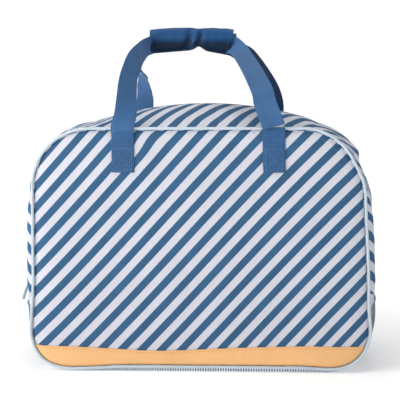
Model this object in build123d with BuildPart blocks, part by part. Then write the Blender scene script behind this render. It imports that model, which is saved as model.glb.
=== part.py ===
from build123d import *
from math import cos, radians, sin
import os

# Weekender bag in striped polyester, with piped seams, a zipped mouth, side mesh pockets and
# two webbing handles held together by a padded wrap.
#
# Frame: millimetres, +Z up, origin on the floor under the middle of the base.
# The front panel faces -Y and +X is to the right of someone who looks at it.

os.makedirs("parts", exist_ok=True)

# ---- body -----------------------------------------------------------------------------------
half_width = 223.0        # sewn edge of the front and rear panels, from the middle
panel_top = 325.0         # sewn edge along the top
panel_bottom = 6.0        # sewn edge along the bottom
top_radius = 75.0
bottom_radius = 57.0
half_depth = 110.0        # from the middle to the sewn edge of a panel
side_bulge = 22.0         # how far the sides stand out half way between the panels
crown_rise = 34.0         # how far the crown rises there
flat_base_half = 75.0     # half of the depth over which the base lies flat on the floor
stations = (-half_depth, -flat_base_half, -30.0, 30.0, flat_base_half, half_depth)

# ---- layers, as depths below the outer surface of the gusset ------------------------------------
fabric = 1.2
tape_top = 1.25
tape_bottom = 2.05
lining_top = 2.1
lining_bottom = 2.9
binding_top = 3.0
binding_bottom = 3.6
foam = 2.5                # padding behind each panel
panel_lining = 0.8
panel_inset = 2.2         # foam and lining stop this far inside the sewn edge

# ---- trim ---------------------------------------------------------------------------------------
piping_radius = 2.25
piping_out = 2.2          # centre of the piping, outside the panel's edge
piping_forward = 2.0      # and in front of the sewn edge
band_top = 34.0           # base band on each panel
band_thickness = 1.2
band_inset = 0.8

# ---- base and mesh pockets ---------------------------------------------------------------------
base_gusset_top = 105.0
board_length = 336.0
board_depth = 150.0
board_thickness = 2.5
board_bottom = 3.1
pocket_top = 92.0
pocket_floor = 19.0
pocket_half = 100.0
pocket_puff = 6.5         # how far a pocket stands off the gusset at its middle
pocket_wall = 1.2
pocket_hem = 1.5
binding_height = 8.0

# ---- zip ----------------------------------------------------------------------------------------
chain_gap = 0.5           # from the middle to each half of the chain
coil_reach = 3.0
coil_proud = 0.8
tape_reach = 14.0
strip_edge = 6.0          # fabric strips stop this far from the middle
lining_edge = 10.0
chain_start = 111.0
slider_height = 124.0
slider_length = 12.0
slider_width = 9.0
pull_axis_height = 126.0
pull_axis_out = 4.2
pull_pin_radius = 0.9
pull_length = 50.0
pull_width = 9.0
pull_eye = 7.0            # open end that swings round the slider's bridge
pull_thickness = 1.6
pull_tilt = 18.0          # the tab hangs this many degrees off the side

# ---- mouth: the top of each strip, free between the corners -----------------------------------------
mouth_half = 148.0
mouth_clear = 0.5
fold_depth = 101.0        # distance of the fold line from the middle of the bag
mouth_low = 300.0

# ---- handles --------------------------------------------------------------------------------------
webbing_width = 30.0
webbing = 1.8
anchor_left = -105.0
anchor_right = 102.0
anchor_bottom = 266.0
anchor_bend = 312.0
strap_start = 325.0
strap_out = 116.4         # middle of the webbing where it passes over the piping
grip_left = -70.0
grip_right = 50.0
grip_height = 455.0       # middle of the grip
grip_webbing_out = 1.6    # middle of each webbing inside the grip
wrap_height = 35.0
wrap_depth = 13.0
wrap_wall = 1.6
flap_width = 112.0
flap_drop = 26.0
closure_width = 100.0
closure_height = 18.0
closure_thickness = 0.8
strap_sections = 9
seam_gap = 0.6            # free webbing stops this far short of what holds its ends

wall_x = half_width + side_bulge * (1 - (30.0 / half_depth) ** 2)   # flat middle of a side
front_face = -half_depth - fabric                              # outer face of the front panel
far = 1000.0                                                   # larger than the bag


def outline_wire(inset, swell=0.0, puff=0.0, bottom=panel_bottom):
    """Closed outline of the bag, in the line builder that is open.

    swell runs from 0 at a panel to 1 half way between the panels, and puff is added to the sides' bulge.
    """
    grow = (side_bulge + puff) * swell
    side = half_width + grow - inset
    top = panel_top + crown_rise * swell - inset
    low = bottom + inset
    upper = top_radius + grow - inset
    lower = bottom_radius + grow - inset
    base = Line((lower - side, low), (side - lower, low))
    corner_1 = JernArc(base @ 1, base % 1, lower, 90)
    right = Line(corner_1 @ 1, (side, top - upper))
    corner_2 = JernArc(right @ 1, right % 1, upper, 90)
    crown = Line(corner_2 @ 1, (upper - side, top))
    corner_3 = JernArc(crown @ 1, crown % 1, upper, 90)
    left = Line(corner_3 @ 1, (-side, low + lower))
    JernArc(left @ 1, left % 1, lower, 90)


def body_form(depth, puff=0.0):
    """Solid filled form of the bag, its surface lying depth below the gusset's outer face."""
    with BuildPart() as form:
        for y in stations:
            with BuildSketch(Plane.XZ.offset(-y)):
                with BuildLine():
                    base_height = panel_bottom if abs(y) == half_depth else 0.0
                    outline_wire(depth, 1 - (y / half_depth) ** 2, puff, base_height)
                make_face()
        loft(ruled=True)
    return form.part


def block(x0, x1, y0, y1, z0, z1):
    """Plain block between two corners, for cutting forms to length."""
    centre = ((x0 + x1) / 2, (y0 + y1) / 2, (z0 + z1) / 2)
    return Pos(*centre) * Box(x1 - x0, y1 - y0, z1 - z0, mode=Mode.PRIVATE)


def save(builder, label):
    builder.part.label = label
    export_step(builder.part, f"parts/{label}.step")


outer_form = body_form(0.0)
fabric_shell = outer_form - body_form(fabric)
tape_shell = body_form(tape_top) - body_form(tape_bottom)
lining_shell = body_form(lining_top) - body_form(lining_bottom)
binding_shell = body_form(binding_top) - body_form(binding_bottom)
coil_shell = body_form(-coil_proud) - body_form(fabric)

# ---- front and rear panels, one layer after another --------------------------------------------------
# "face" is -1 at the front and +1 at the rear.


def panel_layer(face, inner, thickness, inset):
    """Plate with the panel's outline, from depth inner outwards by thickness."""
    with BuildPart() as plate:
        with BuildSketch(Plane.XZ.offset(-face * inner)):
            with BuildLine():
                outline_wire(inset)
            make_face()
        extrude(amount=-face * thickness)
    return plate


for face, side in ((-1, "front"), (1, "rear")):
    save(panel_layer(face, half_depth, fabric, 0.0), f"{side}_panel")
    save(panel_layer(face, half_depth - foam, foam, panel_inset), f"{side}_foam")
    lining_depth = half_depth - foam - panel_lining
    save(panel_layer(face, lining_depth, panel_lining, panel_inset), f"{side}_lining")

    band_plate = panel_layer(face, half_depth + fabric, band_thickness, band_inset).part
    with BuildPart() as base_band:
        add(band_plate)
        split(bisect_by=Plane.XY.offset(band_top), keep=Keep.BOTTOM)
    save(base_band, f"{side}_base_band")

    with BuildPart() as piping:
        with BuildLine(Plane.XZ.offset(-face * (half_depth + piping_forward))) as path:
            outline_wire(-piping_out)
        with BuildSketch(Plane(origin=path.line @ 0, z_dir=path.line % 0)):
            Circle(piping_radius)
        sweep(path=path.line)
    save(piping, f"{side}_piping")

# ---- gussets: fabric, lining, zip tape and coil, cut from the layers of the form ----------------------

side_depth = half_depth - foam - panel_lining - 0.3     # where the gusset's lining starts
fold_in = fold_depth - mouth_clear
fold_out = fold_depth + mouth_clear
corner_start = mouth_half + mouth_clear


def between(face, near, away):
    """Lower and upper y of a strip from near to away from the middle, on one face."""
    return sorted((face * near, face * away))


for face, side in ((-1, "front"), (1, "rear")):
    strip = block(-far, far, *between(face, strip_edge, half_depth), base_gusset_top, far)
    mouth_cut = block(-corner_start, corner_start, *between(face, -1, fold_out), mouth_low, far)
    with BuildPart() as gusset:
        add(fabric_shell)
        add(strip, mode=Mode.INTERSECT)
        add(mouth_cut, mode=Mode.SUBTRACT)
    save(gusset, f"gusset_{side}")

    lining_strip = block(-far, far, *between(face, lining_edge, side_depth), base_gusset_top, far)
    lining_cut = block(-corner_start, corner_start, *between(face, -1, fold_out + 3), mouth_low, far)
    with BuildPart() as gusset_lining:
        add(lining_shell)
        add(lining_strip, mode=Mode.INTERSECT)
        add(lining_cut, mode=Mode.SUBTRACT)
    save(gusset_lining, f"gusset_lining_{side}")

    with BuildPart() as seam_binding:
        add(binding_shell)
        add(block(-far, far, *between(face, fold_out + 2, side_depth), 0, far), mode=Mode.INTERSECT)
    save(seam_binding, f"seam_binding_{side}")

    mouth_layers = (
        ("mouth_strip", fabric_shell, strip_edge, fold_in),
        ("mouth_lining", lining_shell, lining_edge, fold_in - 2.5),
        ("mouth_tape", tape_shell, chain_gap, tape_reach),
        ("mouth_coil", coil_shell, chain_gap, coil_reach),
    )
    for name, shell, near, away in mouth_layers:
        limits = block(-mouth_half, mouth_half, *between(face, near, away), mouth_low, far)
        with BuildPart() as mouth_piece:
            add(shell)
            add(limits, mode=Mode.INTERSECT)
        save(mouth_piece, f"{name}_{side}")

for hand, side in ((-1, "left"), (1, "right")):
    for name, shell, away, low in (
        ("zip_tape", tape_shell, tape_reach, base_gusset_top + 1),
        ("zip_coil", coil_shell, coil_reach, chain_start),
    ):
        x_limits = sorted((0.0, hand * far))
        over_crown = block(-corner_start, corner_start, -far, far, mouth_low, far)
        with BuildPart() as chain:
            add(shell)
            add(block(*x_limits, -away, away, low, far), mode=Mode.INTERSECT)
            add(block(-far, far, -chain_gap, chain_gap, 0, far), mode=Mode.SUBTRACT)
            add(over_crown, mode=Mode.SUBTRACT)
        save(chain, f"{name}_{side}")

    with BuildPart() as stop:
        with BuildSketch(Plane.YZ.offset(hand * (wall_x - tape_top))):
            with Locations((0, chain_start - 2.2)):
                RectangleRounded(7.0, 3.6, 1.0)
        extrude(amount=hand * (tape_top + coil_proud))
    save(stop, f"zip_stop_{side}")

with BuildPart() as base_gusset:
    add(fabric_shell)
    add(block(-far, far, -far, far, -1, base_gusset_top - 0.2), mode=Mode.INTERSECT)
save(base_gusset, "base_gusset")

with BuildPart() as base_lining:
    add(lining_shell)
    add(block(-far, far, -side_depth, side_depth, -1, base_gusset_top - 0.2), mode=Mode.INTERSECT)
save(base_lining, "base_lining")

with BuildPart() as base_board:
    with BuildSketch(Plane.XY.offset(board_bottom)):
        RectangleRounded(board_length, board_depth, 12.0)
    extrude(amount=board_thickness)
save(base_board, "base_board")

# ---- mesh pockets low on both sides ----------------------------------------------------------------

pocket_cavity = body_form(-0.3, pocket_puff)
pocket_block = body_form(-0.3 - pocket_wall, pocket_puff)
pocket_shell = pocket_block - outer_form
binding_block = body_form(-0.3 - pocket_wall - panel_lining, pocket_puff) - pocket_block
cavity_half = pocket_half - pocket_hem

for hand, side in ((-1, "left"), (1, "right")):
    x_limits = sorted((hand * 100.0, hand * far))
    with BuildPart() as pocket:
        add(pocket_shell)
        add(block(*x_limits, -pocket_half, pocket_half, pocket_floor, pocket_top), mode=Mode.INTERSECT)
        inside = block(*x_limits, -cavity_half, cavity_half, pocket_floor + pocket_hem, far)
        add(inside & pocket_cavity, mode=Mode.SUBTRACT)
    save(pocket, f"mesh_pocket_{side}")

    hem = block(*x_limits, -pocket_half, pocket_half, pocket_top - binding_height, pocket_top)
    with BuildPart() as pocket_binding:
        add(binding_block)
        add(hem, mode=Mode.INTERSECT)
    save(pocket_binding, f"pocket_binding_{side}")

# ---- zip slider and its pull, at the lower left end of the zip ----------------------------------------
# The plates run above and below the chain, joined by a web in the gap between its halves.

plate_out = coil_proud + 0.4
plate_top = plate_out + 1.6
keeper_top = tape_bottom + 0.35

with BuildPart() as zip_slider:
    with BuildSketch(Plane.YZ.offset(-wall_x - plate_out)):
        with Locations((0, slider_height)):
            RectangleRounded(slider_width, slider_length, 2.5)
    extrude(amount=plate_out - plate_top)
    with BuildSketch(Plane.YZ.offset(-wall_x + keeper_top)):
        with Locations((0, slider_height)):
            RectangleRounded(slider_width, slider_length, 2.5)
    extrude(amount=1.0)
    with BuildSketch(Plane.YZ.offset(-wall_x - plate_out)):
        with Locations((0, slider_height)):
            Rectangle(0.44, slider_length - 2)
    extrude(amount=plate_out + keeper_top)
    with BuildSketch(Plane.XZ.offset(-1.2)):
        with Locations((-wall_x - plate_top, pull_axis_height)):
            Ellipse(4.4, 4.6)
        with Locations((-wall_x - plate_top + 5.0, pull_axis_height)):
            Rectangle(10.0, 12.0, mode=Mode.SUBTRACT)
        with Locations((-wall_x - pull_axis_out, pull_axis_height)):
            Circle(pull_pin_radius + 0.35, mode=Mode.SUBTRACT)
    extrude(amount=2.4)
save(zip_slider, "zip_slider")

# The pull hangs from its pin, tilted a little off the side.
pull_centre = (-wall_x - pull_axis_out, 0, pull_axis_height)
tilt = radians(pull_tilt)
pull_frame = Plane(origin=pull_centre, x_dir=(0, 1, 0), z_dir=(cos(tilt), 0, -sin(tilt)))
with BuildPart() as zip_pull:
    with BuildSketch(pull_frame.offset(-pull_thickness / 2)) as tab:
        with Locations((0, -(pull_eye + pull_length) / 2)):
            RectangleRounded(pull_width, pull_length - pull_eye, 2.2)
        for arm in (-2.5, 2.5):
            with Locations((arm, -pull_eye / 2 - 0.5)):
                Rectangle(1.6, pull_eye + 1.0)
        with Locations((0, 5.5 - pull_length)):
            SlotOverall(5.0, 2.2, rotation=90, mode=Mode.SUBTRACT)
    extrude(amount=pull_thickness)
    with BuildSketch(Plane.XZ.offset(-3.3)):
        with Locations((pull_centre[0], pull_centre[2])):
            Circle(pull_pin_radius)
    extrude(amount=6.6)
save(zip_pull, "zip_pull")

# ---- handles -------------------------------------------------------------------------------------
# Each webbing is sewn to a panel, passes over the piping and leans in to the grip.


def bezier(points, t):
    """Point on a cubic curve through four control points."""
    a, b, c, d = (Vector(*p) for p in points)
    s = 1 - t
    return a * s**3 + b * (3 * s * s * t) + c * (3 * s * t * t) + d * t**3


def strap_section(points, t):
    """Plane across the webbing at t, with its x along the width."""
    step = 0.001
    run = bezier(points, min(t + step, 1)) - bezier(points, max(t - step, 0))
    return Plane(origin=bezier(points, t), x_dir=(run.Z, 0, -run.X), z_dir=run)


stitches = []
for face, side in ((-1, "front"), (1, "rear")):
    near_panel = half_depth + fabric + 0.1
    over_piping = strap_out - webbing / 2
    for end, anchor_x, grip_x in (("left", anchor_left, grip_left), ("right", anchor_right, grip_right)):
        with BuildPart() as anchor:
            with BuildSketch(Plane.YZ.offset(anchor_x - webbing_width / 2)):
                with BuildLine():
                    Polyline(
                        (face * near_panel, anchor_bottom),
                        (face * (near_panel + webbing), anchor_bottom),
                        (face * (near_panel + webbing), anchor_bend),
                        (face * (over_piping + webbing), strap_start - 5),
                        (face * (over_piping + webbing), strap_start),
                        (face * over_piping, strap_start),
                        (face * over_piping, strap_start - 5),
                        (face * near_panel, anchor_bend),
                        close=True,
                    )
                make_face()
            extrude(amount=webbing_width)
        save(anchor, f"handle_anchor_{side}_{end}")

        inward = 1 if end == "left" else -1
        reach = abs(grip_x - anchor_x)
        controls = (
            (anchor_x, face * strap_out, strap_start + seam_gap),
            (anchor_x, face * strap_out, strap_start + 60),
            (grip_x - inward * 0.8 * reach, face * grip_webbing_out, grip_height),
            (grip_x - inward * seam_gap, face * grip_webbing_out, grip_height),
        )
        with BuildPart() as strap:
            for i in range(strap_sections):
                with BuildSketch(strap_section(controls, i / (strap_sections - 1))):
                    Rectangle(webbing_width, webbing)
            loft(ruled=True)
        save(strap, f"handle_strap_{side}_{end}")

        stitch_plane = Plane.XZ.offset(-face * (near_panel + webbing))
        with BuildPart() as stitch:
            with BuildSketch(stitch_plane):
                with Locations((anchor_x, anchor_bottom + 16)):
                    Rectangle(24, 26)
                    Rectangle(22.8, 24.8, mode=Mode.SUBTRACT)
                    for turn in (-47.3, 47.3):
                        with Locations(Rotation(0, 0, turn)):
                            Rectangle(34.2, 0.6)
            extrude(amount=-face * 0.4)
        stitches.append(stitch.part)

with BuildPart() as box_stitches:
    for piece in stitches:
        add(piece)
save(box_stitches, "box_stitches")

# ---- grip: both webbings inside a wrap that closes at the back with a flap -----------------------------

grip_length = grip_right - grip_left
grip_start = Plane.YZ.offset(grip_left)
for face, side in ((-1, "front"), (1, "rear")):
    with BuildPart() as grip_webbing:
        with BuildSketch(grip_start):
            with Locations((face * grip_webbing_out, grip_height)):
                Rectangle(webbing, webbing_width)
        extrude(amount=grip_length)
    save(grip_webbing, f"grip_webbing_{side}")

with BuildPart() as grip_wrap:
    with BuildSketch(grip_start):
        with Locations((0, grip_height)):
            RectangleRounded(wrap_depth, wrap_height, wrap_depth / 2 - 0.1)
        offset(amount=-wrap_wall, kind=Kind.ARC, mode=Mode.SUBTRACT)
    extrude(amount=grip_length)
save(grip_wrap, "grip_wrap")


def grip_patch(width, height, drop, inner, thickness):
    """Flat patch behind the grip, its top edge drop below the wrap's upper corner."""
    top = grip_height + wrap_height / 2 - wrap_depth / 2 - drop
    with BuildPart() as patch:
        with BuildSketch(Plane.XZ.offset(-inner)):
            with Locations(((grip_left + grip_right) / 2, top - height / 2)):
                RectangleRounded(width, height, 2.0)
        extrude(amount=-thickness)
    return patch


loop_face = wrap_depth / 2
hook_face = loop_face + closure_thickness + 0.3
flap_face = hook_face + closure_thickness
save(grip_patch(closure_width, closure_height, 2, loop_face, closure_thickness), "grip_loop_strip")
save(grip_patch(closure_width, closure_height, 2, hook_face, closure_thickness), "grip_hook_strip")
save(grip_patch(flap_width, flap_drop, 0, flap_face, wrap_wall - 0.2), "grip_flap")
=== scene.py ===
import math
import bpy
import numpy as np
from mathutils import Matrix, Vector, noise


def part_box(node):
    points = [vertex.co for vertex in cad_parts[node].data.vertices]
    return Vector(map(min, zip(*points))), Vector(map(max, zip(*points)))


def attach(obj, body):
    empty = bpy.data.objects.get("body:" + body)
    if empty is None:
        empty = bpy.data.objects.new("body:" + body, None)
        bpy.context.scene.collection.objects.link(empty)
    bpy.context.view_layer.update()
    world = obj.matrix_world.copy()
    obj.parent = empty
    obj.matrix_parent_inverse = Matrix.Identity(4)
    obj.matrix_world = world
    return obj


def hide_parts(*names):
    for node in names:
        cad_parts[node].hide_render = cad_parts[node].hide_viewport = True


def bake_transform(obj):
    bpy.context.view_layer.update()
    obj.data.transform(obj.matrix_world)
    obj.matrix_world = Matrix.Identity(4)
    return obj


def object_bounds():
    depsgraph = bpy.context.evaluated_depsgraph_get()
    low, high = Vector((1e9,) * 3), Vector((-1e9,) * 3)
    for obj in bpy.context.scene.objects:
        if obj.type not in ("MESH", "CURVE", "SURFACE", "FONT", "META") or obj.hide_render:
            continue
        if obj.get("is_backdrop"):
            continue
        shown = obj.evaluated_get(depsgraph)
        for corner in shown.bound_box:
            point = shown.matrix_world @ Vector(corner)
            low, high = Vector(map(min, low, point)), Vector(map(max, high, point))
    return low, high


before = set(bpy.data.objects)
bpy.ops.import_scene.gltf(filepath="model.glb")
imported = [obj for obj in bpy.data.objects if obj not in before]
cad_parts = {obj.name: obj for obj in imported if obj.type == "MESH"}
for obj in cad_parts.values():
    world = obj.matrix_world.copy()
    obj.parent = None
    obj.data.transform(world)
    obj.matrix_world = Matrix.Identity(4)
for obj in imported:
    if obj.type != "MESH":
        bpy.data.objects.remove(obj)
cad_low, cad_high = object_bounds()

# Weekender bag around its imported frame. Metres, +Z up, the front panel faces -Y.

# ---- places taken from the frame ----
panel_low, panel_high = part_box("front_panel")
HALF_WIDTH = panel_high.x
PANEL_TOP = panel_high.z
PANEL_LOW = panel_low.z
HALF_DEPTH = -panel_high.y
BAND_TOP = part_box("front_base_band")[1].z
POCKET_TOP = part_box("mesh_pocket_right")[1].z
POCKET_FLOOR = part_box("mesh_pocket_right")[0].z
FRONT_FACE = -panel_low.y

# ---- form of the body ----
SIDE_BULGE = 0.022
CROWN_RISE = 0.034
UPPER_RADIUS = 0.075
LOWER_RADIUS = 0.057
FLAT_BASE = 0.093        # half of the depth over which the base lies on the floor
STRIPE_PITCH = 0.0262    # along a seam that the stripes cross at 45 degrees
FABRIC = 0.0012
CHAIN_REACH = 0.006      # the striped strips stop this far from the middle of the zip
FOLD = 0.101             # fold lines of the mouth, from the middle of the bag
MOUTH_HALF = 0.148       # the mouth opens this far to both sides
MOUTH_EASE = 0.020       # and has its full drop from here inwards
MOUTH_TOP = 0.34         # height of the line that it bends along
LINING_DEPTH = 0.0021    # outer side of the linings, below the gusset's outer side
LINING_FOLD = 0.098      # the free part of a gusset's lining ends here
THIN = 0.0008            # thickness of linings and zip tapes
SEAM = 0.1064            # linings reach this far towards a panel
WAIST = 0.17             # half-way up the panels
INSIDE = (0.0, 0.0, WAIST)
LINING_FACE = 0.1075     # a panel's lining, from the middle of the bag
PANEL_INSET = 0.0022     # layers behind a panel stop this far inside its sewn edge
SIDE_END = 0.105         # height at which the striped strips meet the mesh of the base
TAPE_LOW = 0.106         # lower ends of the zip tapes, and of the coils
COIL_LOW = 0.1115
POCKET_HALF = 0.100      # half of the width of a side pocket

# Lengths of half of the outline, from the middle of the base to the middle of the crown.
BASE_RUN = HALF_WIDTH - LOWER_RADIUS
LOWER_RUN = LOWER_RADIUS * math.pi / 2
SIDE_RUN = PANEL_TOP - PANEL_LOW - LOWER_RADIUS - UPPER_RADIUS
UPPER_RUN = UPPER_RADIUS * math.pi / 2
CROWN_RUN = HALF_WIDTH - UPPER_RADIUS
MARKS = np.cumsum([0, BASE_RUN, LOWER_RUN, SIDE_RUN, UPPER_RUN, CROWN_RUN])
HALF_ARC = MARKS[-1]


def smooth(x, low, high):
    """0 below low, 1 above high, eased between them."""
    t = np.clip((np.asarray(x, float) - low) / (high - low), 0, 1)
    return t * t * (3 - 2 * t)


def unit(vectors):
    return vectors / np.maximum(np.linalg.norm(vectors, axis=-1, keepdims=True), 1e-12)


def rounded(value, power):
    """A sine or cosine to a power, with its sign kept, which squares up the circle that it draws."""
    return np.sign(value) * np.abs(value) ** power


def wobble(points, size, seed=0.0):
    """Smooth noise from -1 to 1 at each point, with lumps of the given size in metres."""
    flat = np.asarray(points, float).reshape(-1, 3) / size + seed
    values = [noise.noise(Vector(p)) for p in flat]
    return np.array(values).reshape(np.shape(points)[:-1])


def skin(arc, y, out=0.0):
    """Point on the bag at an arc from the middle of the base (positive to the right) and a depth y."""
    arc, y = np.broadcast_arrays(np.asarray(arc, float), np.asarray(y, float))
    swell = 1 - (y / HALF_DEPTH) ** 2
    hand = np.where(arc < 0, -1.0, 1.0)
    a = np.clip(np.abs(arc), 0, HALF_ARC)
    grow = SIDE_BULGE * swell + out
    side = HALF_WIDTH + grow
    top = PANEL_TOP + CROWN_RISE * swell + out
    rise = np.clip((np.abs(y) - FLAT_BASE) / (HALF_DEPTH - FLAT_BASE), 0, 1) ** 12
    low = PANEL_LOW * rise - out
    up = UPPER_RADIUS + grow
    down = LOWER_RADIUS + grow
    turn = (a - MARKS[1]) / LOWER_RUN * math.pi / 2
    bend = (a - MARKS[3]) / UPPER_RUN * math.pi / 2
    climb = (a - MARKS[2]) / SIDE_RUN
    cross = (a - MARKS[4]) / CROWN_RUN
    on = [a < MARKS[1], a < MARKS[2], a < MARKS[3], a < MARKS[4], a >= MARKS[4]]
    x = np.select(on, [
        (side - down) * a / BASE_RUN,
        side - down + down * np.sin(turn),
        side,
        side - up + up * np.cos(bend),
        (side - up) * (1 - cross),
    ])
    z = np.select(on, [
        low,
        low + down - down * np.cos(turn),
        low + down + climb * (top - up - low - down),
        top - up + up * np.sin(bend),
        top,
    ])
    return np.stack([hand * x, y, z], -1)


def arc_at_height(z, y):
    """Arc on the straight part of a side where the skin has height z."""
    swell = 1 - (np.asarray(y) / HALF_DEPTH) ** 2
    foot = LOWER_RADIUS + SIDE_BULGE * swell
    head = PANEL_TOP + CROWN_RISE * swell - UPPER_RADIUS - SIDE_BULGE * swell
    return MARKS[2] + SIDE_RUN * (z - foot) / (head - foot)


def corner_arc(z, y):
    """Arc in the lower corner where the skin has height z."""
    swell = 1 - (np.asarray(y) / HALF_DEPTH) ** 2
    down = LOWER_RADIUS + SIDE_BULGE * swell
    return MARKS[1] + LOWER_RUN * np.arccos(np.clip(1 - z / down, -1, 1)) / (math.pi / 2)


def soften(points):
    """Settles the form the way a soft bag stands: leaning, sagging and a little uneven."""
    p = np.array(points, float)
    x, y, z = p[..., 0], p[..., 1], p[..., 2]
    near_face = (y / HALF_DEPTH) ** 2
    swell = np.clip(1 - near_face, 0, 1)
    rightward = smooth(x, 0.05, 0.21)
    leftward = smooth(-x, 0.05, 0.21)
    # The right side leans inwards as it rises, and the left side stands upright over a wider foot.
    lean = (0.0046 - 0.0030 * smooth(z, 0.05, 0.10) - 0.0065 * smooth(z, 0.10, 0.28)
            - 0.0068 * smooth(z, 0.24, 0.285))
    x_new = x + rightward * lean * (0.35 + 0.65 * near_face)
    hip = 0.0040 * (1 - smooth(z, 0.045, 0.13)) - 0.0017
    x_new = x_new - leftward * near_face * hip
    # Both shoulders are drawn in between the seams, the right one further.
    shoulders = 0.006 * smooth(np.abs(y), 0.004, 0.03) * smooth(z, 0.24, 0.28)
    x_new = x_new + (leftward - rightward) * swell * shoulders
    slump = smooth(z, 0.225, 0.285) * (1 - smooth(z, 0.29, 0.32))
    x_new = x_new - rightward * swell * 0.0105 * slump
    # The crown is highest near its middle and slopes to its ends.
    dome = np.clip(np.abs(x - 0.008) / 0.13, 0, 1.25) ** 2
    z_new = z + swell * smooth(z, 0.25, 0.33) * (0.006 - 0.0165 * dome)
    # The panels' lower edges arch off the floor, between corners that sit lower and wider.
    arch = smooth(x, -0.165, -0.09) * (1 - smooth(x, 0.13, 0.20)) * (1 - smooth(z, 0.0, 0.10))
    z_new = z_new + 0.0032 * arch * smooth(np.abs(y), 0.1078, 0.110)
    for corner, pull in ((-0.205, 0.0032), (0.207, 0.0018)):
        near_corner = pull * near_face * np.exp(-((x - corner) ** 2 + (z - 0.022) ** 2) / 0.030 ** 2)
        x_new = x_new + math.copysign(0.9, corner) * near_corner
        z_new = z_new - near_corner * smooth(z, 0.0, 0.012)
    p[..., 0], p[..., 2] = x_new, z_new
    return p


def edge_puff(y, z):
    """Roll of slack cloth that the gusset forms beside the stiff piped seams, down both sides."""
    away = np.maximum(HALF_DEPTH - np.abs(y), 0)
    roll = np.exp(-((away - 0.014) / 0.016) ** 2) * (1 - np.exp(-away / 0.004))
    return 0.0078 * roll * smooth(z, 0.05, 0.13) * (1 - smooth(z, 0.20, 0.27))


def lumps(arc, y):
    """How far the gusset's cloth stands off its plain form."""
    spot = skin(arc, y)
    calm = smooth(np.abs(y), 0.004, 0.03) * (1 - smooth(np.abs(y), 0.085, 0.109))
    free = smooth(spot[..., 2], 0.02, 0.08)
    broad = 0.0022 * wobble(spot, 0.07, 3.1) + 0.0010 * wobble(spot, 0.03, 7.7)
    seam = np.exp(-(HALF_DEPTH - np.abs(y)) / 0.012) * smooth(HALF_DEPTH - np.abs(y), 0.0, 0.004)
    pucker = 0.0007 * seam * np.sin(np.abs(arc) * 2 * math.pi / 0.0135 + 3 * wobble(spot, 0.05, 1.3))
    return broad * calm * free + pucker * free + edge_puff(spot[..., 1], spot[..., 2])


# ---- mesh building ----


def new_object(name, data):
    thing = bpy.data.objects.new(name, data)
    bpy.context.scene.collection.objects.link(thing)
    return thing


class Stock:
    """Vertices and faces of one piece, gathered part by part."""

    def __init__(self):
        self.points, self.faces, self.slots, self.stripes, self.threads = [], [], [], [], []
        self.count = 0

    def add(self, points, faces, slot=0, stripe=None, thread=None):
        points = np.asarray(points, float).reshape(-1, 3)
        blank = np.zeros((len(points), 2))
        self.points.append(points)
        self.stripes.append(blank if stripe is None else np.reshape(stripe, (-1, 2)))
        self.threads.append(blank if thread is None else np.reshape(thread, (-1, 2)))
        self.faces += [tuple(int(i) + self.count for i in face) for face in faces]
        self.slots += [slot] * len(faces) if np.isscalar(slot) else list(slot)
        self.count += len(points)

    def make(self, name, materials, sharp=45):
        mesh = bpy.data.meshes.new(name)
        mesh.from_pydata(np.concatenate(self.points).tolist(), [], self.faces)
        for material in materials:
            mesh.materials.append(material)
        mesh.polygons.foreach_set("material_index", self.slots)
        corners = np.empty(len(mesh.loops), int)
        mesh.loops.foreach_get("vertex_index", corners)
        for label, values in (("stripe", self.stripes), ("thread", self.threads)):
            layer = mesh.uv_layers.new(name=label)
            layer.data.foreach_set("uv", np.concatenate(values)[corners].astype(np.float32).ravel())
        mesh.update()
        mesh.shade_smooth()
        mesh.set_sharp_from_angle(angle=math.radians(sharp))
        return new_object(name, mesh)


def grid_normals(grid):
    return unit(np.cross(np.gradient(grid, axis=0), np.gradient(grid, axis=1)))


def shell(stock, grid, thickness, away_from, stripe=None, thread=None, slots=(0, 0)):
    """Closed sheet: grid is its outer side, which faces away from the point away_from."""
    normal = grid_normals(grid)
    facing = np.sum(normal * (grid - np.asarray(away_from, float)), axis=-1).sum()
    if facing < 0:
        normal = -normal
    rows, columns = grid.shape[:2]
    number = np.arange(rows * columns).reshape(rows, columns)
    quads = np.stack([number[:-1, :-1], number[1:, :-1], number[1:, 1:], number[:-1, 1:]], -1).reshape(-1, 4)
    if facing < 0:
        quads = quads[:, ::-1]
    below = quads[:, ::-1] + rows * columns
    edge = np.concatenate([number[:, 0], number[-1, 1:], number[-2::-1, -1], number[0, -2:0:-1]])
    follow = np.roll(edge, -1)
    rim = np.stack([follow, edge, edge + rows * columns, follow + rows * columns], -1)
    if facing < 0:
        rim = rim[:, ::-1]
    points = np.concatenate([grid.reshape(-1, 3), (grid - normal * thickness).reshape(-1, 3)])
    twice = lambda uv: None if uv is None else np.concatenate([uv.reshape(-1, 2)] * 2)
    slot = [slots[0]] * len(quads) + [slots[1]] * len(below) + [slots[0]] * len(rim)
    stock.add(points, np.concatenate([quads, below, rim]), slot, twice(stripe), twice(thread))


def frames(path, closed=False):
    """Two directions across a path at each of its points, turning as little as possible."""
    ahead = np.roll(path, -1, 0) - np.roll(path, 1, 0) if closed else np.gradient(path, axis=0)
    ahead = unit(ahead)
    side = np.cross(ahead[0], (0, 1, 0) if abs(ahead[0][1]) < 0.9 else (1, 0, 0))
    sides = []
    for direction in ahead:
        side = unit(side - direction * side.dot(direction))
        sides.append(side)
    sides = np.array(sides)
    return sides, np.cross(ahead, sides)


def length_along(path):
    """Length of a path from its start to each of its points."""
    return np.concatenate([[0], np.cumsum(np.linalg.norm(np.diff(path, axis=0), axis=1))])


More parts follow.
